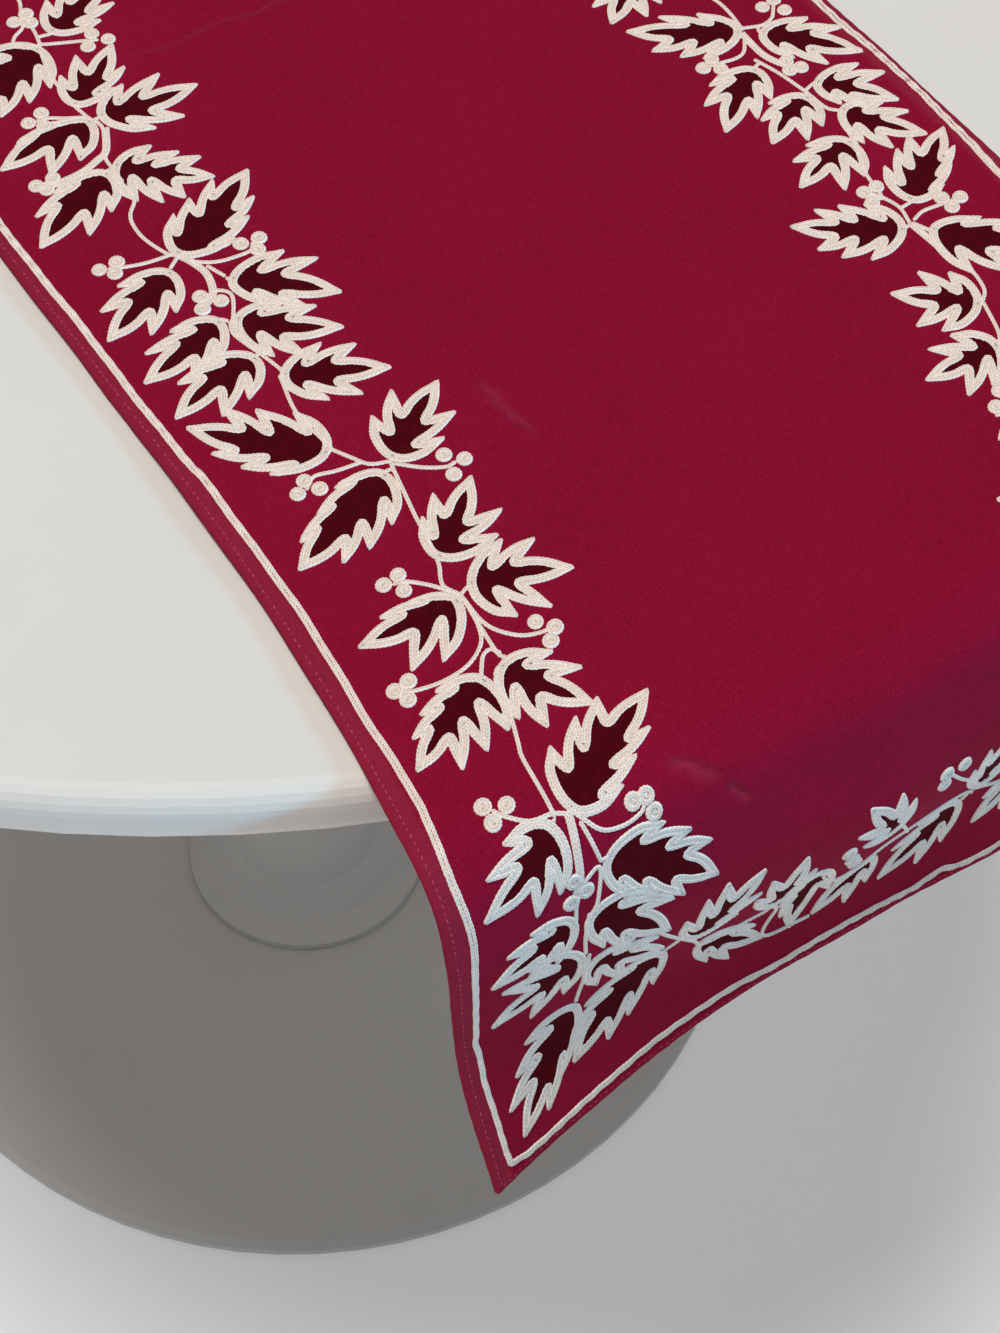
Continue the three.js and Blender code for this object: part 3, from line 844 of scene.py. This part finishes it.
def shapeLeaf(row, chance):
    # outer and inner chain rows of one leaf; the third column is the row's share of its width
    left, right, leftSpread, rightSpread = row[4:]
    base, length, ahead, aside = axesOf(row)
    length -= 2 * leafSet["tipInset"]
    bend = chance.uniform(-0.05, 0.05)
    leftEdges = leafSide(left, leftSpread / 100, chance)
    rightEdges = leafSide(right, rightSpread / 100, chance)
    edges = leftEdges + [p[::-1] * (1, -1) for p in rightEdges[::-1]]
    sides = []
    for edge in edges:
        shares = edge + np.outer(bend * np.sin(math.pi * np.clip(edge[:, 0], 0, 1)), (0, 1))
        points = base + ahead * leafSet["tipInset"] + length * (
            shares[:, :1] * ahead + shares[:, 1:] * aside)
        sides.append(alongPath(points, 0.5))
    outer, inner = [], []
    last = len(edges) - 1
    for n, points in enumerate(sides):
        run = runningLength(points)
        fromStart = run + (99 if n == 0 else 0)
        fromEnd = run[-1] - run + (99 if n == last else 0)
        # the sides run base, tip, notch, tip and so on up the left, and back down the right
        tipAtEnd = n % 2 == 0 if n < len(leftEdges) else (last - n) % 2 == 1
        toTip, toNotch = (fromEnd, fromStart) if tipAtEnd else (fromStart, fromEnd)
        gap = leafSet["least"] + leafSet["ramp"] * np.minimum(fromStart, fromEnd)
        gap = np.minimum(leafSet["rowGap"], gap)
        share = leafSet["pointWidth"] + (1 - leafSet["pointWidth"]) * ease(
            toTip / leafSet["pointLength"])
        within = besides(points, -gap)
        if 0 < n < last:
            # the inner row reaches on from the notch as a finger between the lobes
            reach = cornerReach(sides, n, 0 if tipAtEnd else -1) * leafSet["finger"]
            within = within + np.outer(ease(1 - toNotch / leafSet["fingerRoot"]), reach)
        # the outer row runs on to a point at each tip
        reach = cornerReach(sides, n, -1 if tipAtEnd else 0) * leafSet["point"]
        pointed = points + np.outer(ease(1 - toTip / leafSet["pointLength"]), reach)
        outer.append(np.column_stack([pointed, share]))
        inner.append(np.column_stack([within, 0.5 + 0.5 * share]))
    # each row ends by running over its own start
    return [softened(np.vstack(edge + [edge[0][:5]])) for edge in (outer, inner)]


def leafRows(chart, seed):
    rows, middles = [], []
    chance = random.Random(seed)
    for row in chart:
        outer, inner = shapeLeaf(row, chance)
        rows.append((outer, leafSet["rowWidth"], leafSet["rowHeight"][0]))
        rows.append((inner, leafSet["rowWidth"], leafSet["rowHeight"][1]))
        rows.append((outer, inner))
        # the dark wool ends between the two rows, nearer to the inner one
        middles.append((row, 0.35 * outer[:, :2] + 0.65 * inner[:, :2]))
    return rows, middles


middleSet = {"cell": (1.7, 0.95), "lift": 0.16, "rib": 0.14, "rim": -0.15, "stitch": (1.7, 1.9)}


def liesInside(points, outline):
    # even and odd crossings of a line to the right of each point
    x, y = points[:, :1], points[:, 1:]
    ax, ay = outline[:, 0][None], outline[:, 1][None]
    bx, by = np.roll(outline[:, 0], -1)[None], np.roll(outline[:, 1], -1)[None]
    spans = (ay > y) != (by > y)
    reach = ax + (y - ay) * (bx - ax) / np.where(np.abs(by - ay) < 1e-9, 1e-9, by - ay)
    return (np.sum(spans & (x < reach), 1) % 2) == 1


def makeMiddles(name, middles):
    # dark wool worked in rows along each leaf, sunk to the cloth under the cream rows
    parts = []
    for row, outline in middles:
        base, length, ahead, aside = axesOf(row)
        a = np.arange(0, length, middleSet["cell"][0])
        b = np.arange(-0.45 * length, 0.45 * length, middleSet["cell"][1])
        gridA, gridB = np.meshgrid(a, b, indexing="ij")
        points = base + gridA[..., None] * ahead + gridB[..., None] * aside
        centres = (points[:-1, :-1] + points[1:, 1:]) / 2
        kept = liesInside(centres.reshape(-1, 2), outline[::3]).reshape(centres.shape[:2])
        around = np.zeros(gridA.shape, int)
        for i, j in ((0, 0), (0, 1), (1, 0), (1, 1)):
            around[i:i + kept.shape[0], j:j + kept.shape[1]] += kept
        rib = middleSet["rib"] * (np.arange(len(b)) % 2)[None]
        rib = rib * (0.75 + 0.25 * (np.arange(len(a)) % 2)[:, None])
        lift = np.where(around == 4, middleSet["lift"] + rib, middleSet["rim"])
        cells = stripFaces(gridA.size, len(b))[kept.ravel()][:, [0, 3, 2, 1]]
        used, packed = np.unique(cells, return_inverse=True)
        lay = np.stack([gridA, gridB], -1) / middleSet["stitch"]
        parts.append((points.reshape(-1, 2)[used], lift.ravel()[used] + rowSet["clothTop"],
                      lay.reshape(-1, 2)[used], packed.reshape(-1, 4)))
    return joinParts(name, parts, maroonWool)


def farHalf(rows):
    # the same rows on the far half, where along is negative
    return [tuple(np.column_stack([-v[:, :2], v[:, 2:]]) if np.ndim(v) else v for v in row) for row in rows]


def farMiddles(middles):
    return [(tuple(-v for v in row[:4]) + tuple(row[4:]), outline * (-1, -1)) for row, outline in middles]


embroidery = []
allMiddles = []
# each chart has the seed of its small variations
for name, chart, seed in (("Left", leftLeaves, 11), ("Right", rightLeaves, 23), ("End", endLeaves, 37)):
    rows, middles = leafRows(chart, seed)
    embroidery += [makeRows("leaves" + name + "Near", rows, creamWool),
                   makeRows("leaves" + name + "Far", farHalf(rows), creamWool)]
    allMiddles += middles
embroidery += [makeMiddles("leafMiddlesNear", allMiddles),
               makeMiddles("leafMiddlesFar", farMiddles(allMiddles))]
print("leaves made:", 2 * len(allMiddles))

# Stems, berries and the border line.

stemSet = {
    "width": 1.8, "height": 0.76, "twoRowGap": 0.78, "overlap": 1.2, "step": 0.6,
    "sprigReach": 11, "stalkReach": (1.2, 9),
}
berrySet = {
    "radius": 2.05, "turns": 1.1, "width": 2.5, "height": 1.1, "stitch": 0.95,
    "knot": (1.0, 2.3, 0.8),  # half length, width, height
}
borderSet = {
    "gap": 0.78, "width": 1.7, "height": 0.72, "tighter": 0.32, "tightFrom": 470, "tightOver": 60,
    "wander": ((0.22, 13.0), (0.15, 5.3)),
}


def runOn(path):
    # both ends a little longer, so that rows overlap where they meet
    first, last = path[0] - path[1], path[-1] - path[-2]
    more = stemSet["overlap"]
    return np.vstack([path[0] + first / norm(first) * more, path, path[-1] + last / norm(last) * more])


def stemRows(chart, sprigs, leaves):
    drawn, paths = [], []
    middles = [np.reshape(flat, (-1, 2)).mean(0) for flat in sprigs]
    for number, *flat in chart:
        points = np.reshape(flat, (-1, 2)).astype(float)
        # a stem that ends beside a sprig runs on to the sprig's middle
        for middle in middles:
            if norm(points[0] - middle) < stemSet["sprigReach"]:
                points = np.vstack([middle, points])
            elif norm(points[-1] - middle) < stemSet["sprigReach"]:
                points = np.vstack([points, middle])
        path = alongPath(runOn(smoothPath(points)), stemSet["step"])
        paths.append(path)
        for offset in (0,) if number == 1 else (-stemSet["twoRowGap"], stemSet["twoRowGap"]):
            drawn.append(besides(path, offset))
    every = np.vstack(paths)
    least, most = stemSet["stalkReach"]
    for row in leaves:
        # a short stalk joins each leaf to the nearest stem
        base, tip = np.array(row[:2], float), np.array(row[2:4], float)
        start = base + (tip - base) * 0.03
        nearest = every[np.argmin(norm(every - base, axis=1))]
        if least < norm(nearest - base) < most:
            drawn.append(alongPath([start, base, nearest], stemSet["step"]))
    return [(path, stemSet["width"], stemSet["height"]) for path in drawn]


def berryRows(chart, seed):
    rows = []
    chance = random.Random(seed)
    for flat in chart:
        for centre in np.reshape(flat, (-1, 2)):
            # one round of chain and a knot in its middle
            angle = chance.uniform(0, 6.28) + np.linspace(0, berrySet["turns"], 48) * 2 * math.pi
            way = np.stack([np.cos(angle), np.sin(angle)], -1)
            stitch = berrySet["stitch"]
            path = centre + way * berrySet["radius"] * chance.uniform(0.95, 1.06)
            rows.append((path, berrySet["width"], berrySet["height"], stitch))
            length, width, height = berrySet["knot"]
            knot = np.array([centre - length * way[0], centre + length * way[0]])
            rows.append((knot, width, height, stitch / 2))
    return rows


def borderRows():
    path = alongPath(smoothPath(np.reshape(borderLine, (-1, 2))), 1.0)
    wander = sum(far * np.sin(np.arange(len(path)) / length) for far, length in borderSet["wander"])
    # the two rows lie closer along the hanging end
    hanging = ease((path[:, 0] - borderSet["tightFrom"]) / borderSet["tightOver"])
    gap = borderSet["gap"] * (1 - borderSet["tighter"] * hanging)
    return [(besides(path, wander + side * gap), borderSet["width"], borderSet["height"])
            for side in (-1, 1)]


sprigs = leftBerries + rightBerries + endBerries
stems = stemRows(leftStems + rightStems + endStems, sprigs, leftLeaves + rightLeaves + endLeaves)
for name, rows in (("stems", stems), ("berries", berryRows(sprigs, 5)), ("borderLine", borderRows())):
    embroidery.append(makeRows(name, rows + farHalf(rows), creamWool))
print("stems, berries and border made")

# Hem stitches.

hemSet = {
    "inset": 3.7, "pitch": 2.7, "length": 1.75, "width": 0.55, "height": 0.28, "clothTop": 1.1,
    "sunk": 0.06, "stray": 0.12,
}


def makeHemStitches():
    inset = hemSet["inset"]
    half, side = halfLength - inset, halfWidth - inset
    corners = ((-half, -side), (half, -side), (half, side), (-half, side), (-half, -side))
    chance = random.Random(3)
    u = np.linspace(-0.5, 0.5, 5)
    thick = np.sqrt(np.clip(1 - (2 * u) ** 2, 0.02, 1))
    breadth = np.outer(thick, np.array([-0.5, 0, 0.5]) * hemSet["width"])
    rise = np.outer(hemSet["height"] * thick, (0, 1, 0)) - hemSet["sunk"]
    parts = []
    for start, end in zip(corners, corners[1:]):
        base, length, way, out = axesOf(start + end)
        for n in range(int(length / hemSet["pitch"])):
            stray = chance.uniform(-hemSet["stray"], hemSet["stray"])
            middle = base + way * (n + 0.5) * hemSet["pitch"] + out * stray
            spots = middle + (way * hemSet["length"] * u[:, None])[:, None] + out * breadth[..., None]
            parts.append((spots.reshape(-1, 2), rise.ravel() + hemSet["clothTop"],
                          layGrid(n + u, np.linspace(0.3, 0.7, 3)), stripFaces(15, 3)))
    return joinParts("hemStitches", parts, hemThread)


embroidery.append(makeHemStitches())
print("hem stitched; faces in all:", sum(len(p.data.polygons) for p in embroidery + [runnerCloth]))

# Floor, light and world.

stageSet = {
    "floorSize": 40, "floorColour": (0.76, 0.79, 0.84, 1), "floorShade": 0.985, "floorGlow": 0.20,
    # kind, place and turn of each light; the front one fades towards the hem
    "overheadLight": ("SUN", (0, 0, 3), (-4, -8, 0), {
        "energy": 2.82, "angle": math.radians(24), "color": (1.0, 0.915, 0.83)}),
    "frontLight": ("SPOT", (1.1, -2.1, 1.3), (99, 0, 34), {
        "energy": 195, "spot_size": math.radians(60), "spot_blend": 0.5, "shadow_soft_size": 0.15,
        "color": (0.18, 0.63, 1.0)}),
    "world": {"Strength": 0.22, "Color": (0.98, 0.98, 1.0, 1)},
}


def makeStage():
    mesh = bpy.data.meshes.new("studioFloor")
    h = stageSet["floorSize"] / 2
    mesh.from_pydata([(-h, -h, 0), (h, -h, 0), (h, h, 0), (-h, h, 0)], [], [(0, 1, 2, 3)])
    floor = addObject("studioFloor", mesh)
    material, tree, shader = startMaterial("studioPaper", {"Roughness": 0.9})
    place = put(tree, "TexCoord").outputs["Object"]
    drift = useGroup(tree, handlingGroup, {"Vector": place, "Size": 0.6})
    pale = stageSet["floorColour"]
    shade = tuple(stageSet["floorShade"] * c for c in pale[:3]) + (1,)
    wire(shader, {"Base Color": blendColours(tree, drift["Tone"], shade, pale),
                  "Emission Color": (1, 1, 1, 1), "Emission Strength": stageSet["floorGlow"]})
    mesh.materials.append(material)
    for name in ("overheadLight", "frontLight"):
        kind, place, turn, values = stageSet[name]
        addObject(name, setAll(bpy.data.lights.new(name, kind), values), place, turn)
    world = bpy.data.worlds.new("studio")
    world.use_nodes = True
    wire(world.node_tree.nodes["Background"], stageSet["world"])
    bpy.context.scene.world = world
    bpy.context.scene.view_settings.view_transform = "Standard"


makeStage()
print("stage set")
